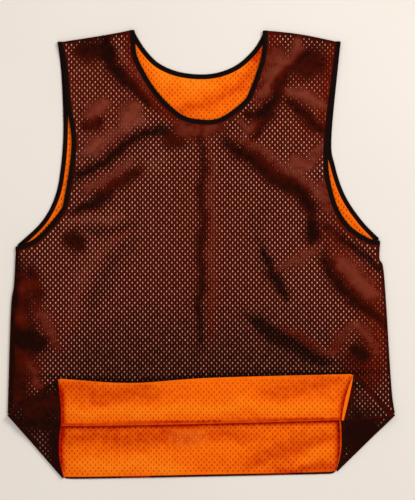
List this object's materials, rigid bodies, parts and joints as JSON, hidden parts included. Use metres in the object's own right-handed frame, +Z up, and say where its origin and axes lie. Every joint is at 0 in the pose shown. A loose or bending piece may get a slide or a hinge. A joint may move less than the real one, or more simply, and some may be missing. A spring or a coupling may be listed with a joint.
{
  "type": "training bib",
  "caption": "Reversible sleeveless mesh training bib, laid flat with its hem opened out over the back.",
  "frame": {"origin": "centre of the bib's outline as seen from above, on the surface that it lies on", "axes": "+X to the right as seen from above with the shoulders at the top, +Y from the hem to the shoulders, +Z up from the surface"},
  "size_m": [0.6026, 0.6976, 0.0139],
  "materials": {
    "black_mesh": "black open polyester mesh with small staggered holes, slightly shiny",
    "orange_mesh": "bright orange open polyester mesh with small staggered holes",
    "black_binding": "black ribbed knit strip, folded over the edge and stitched"
  },
  "bodies": {
    "root": {"front_outer": "black_mesh", "front_inner": "orange_mesh", "back_outer": "black_mesh", "back_inner": "orange_mesh", "neck_binding": "black_binding", "armhole_binding_left": "black_binding", "armhole_binding_right": "black_binding"}
  },
  "joints": []
}
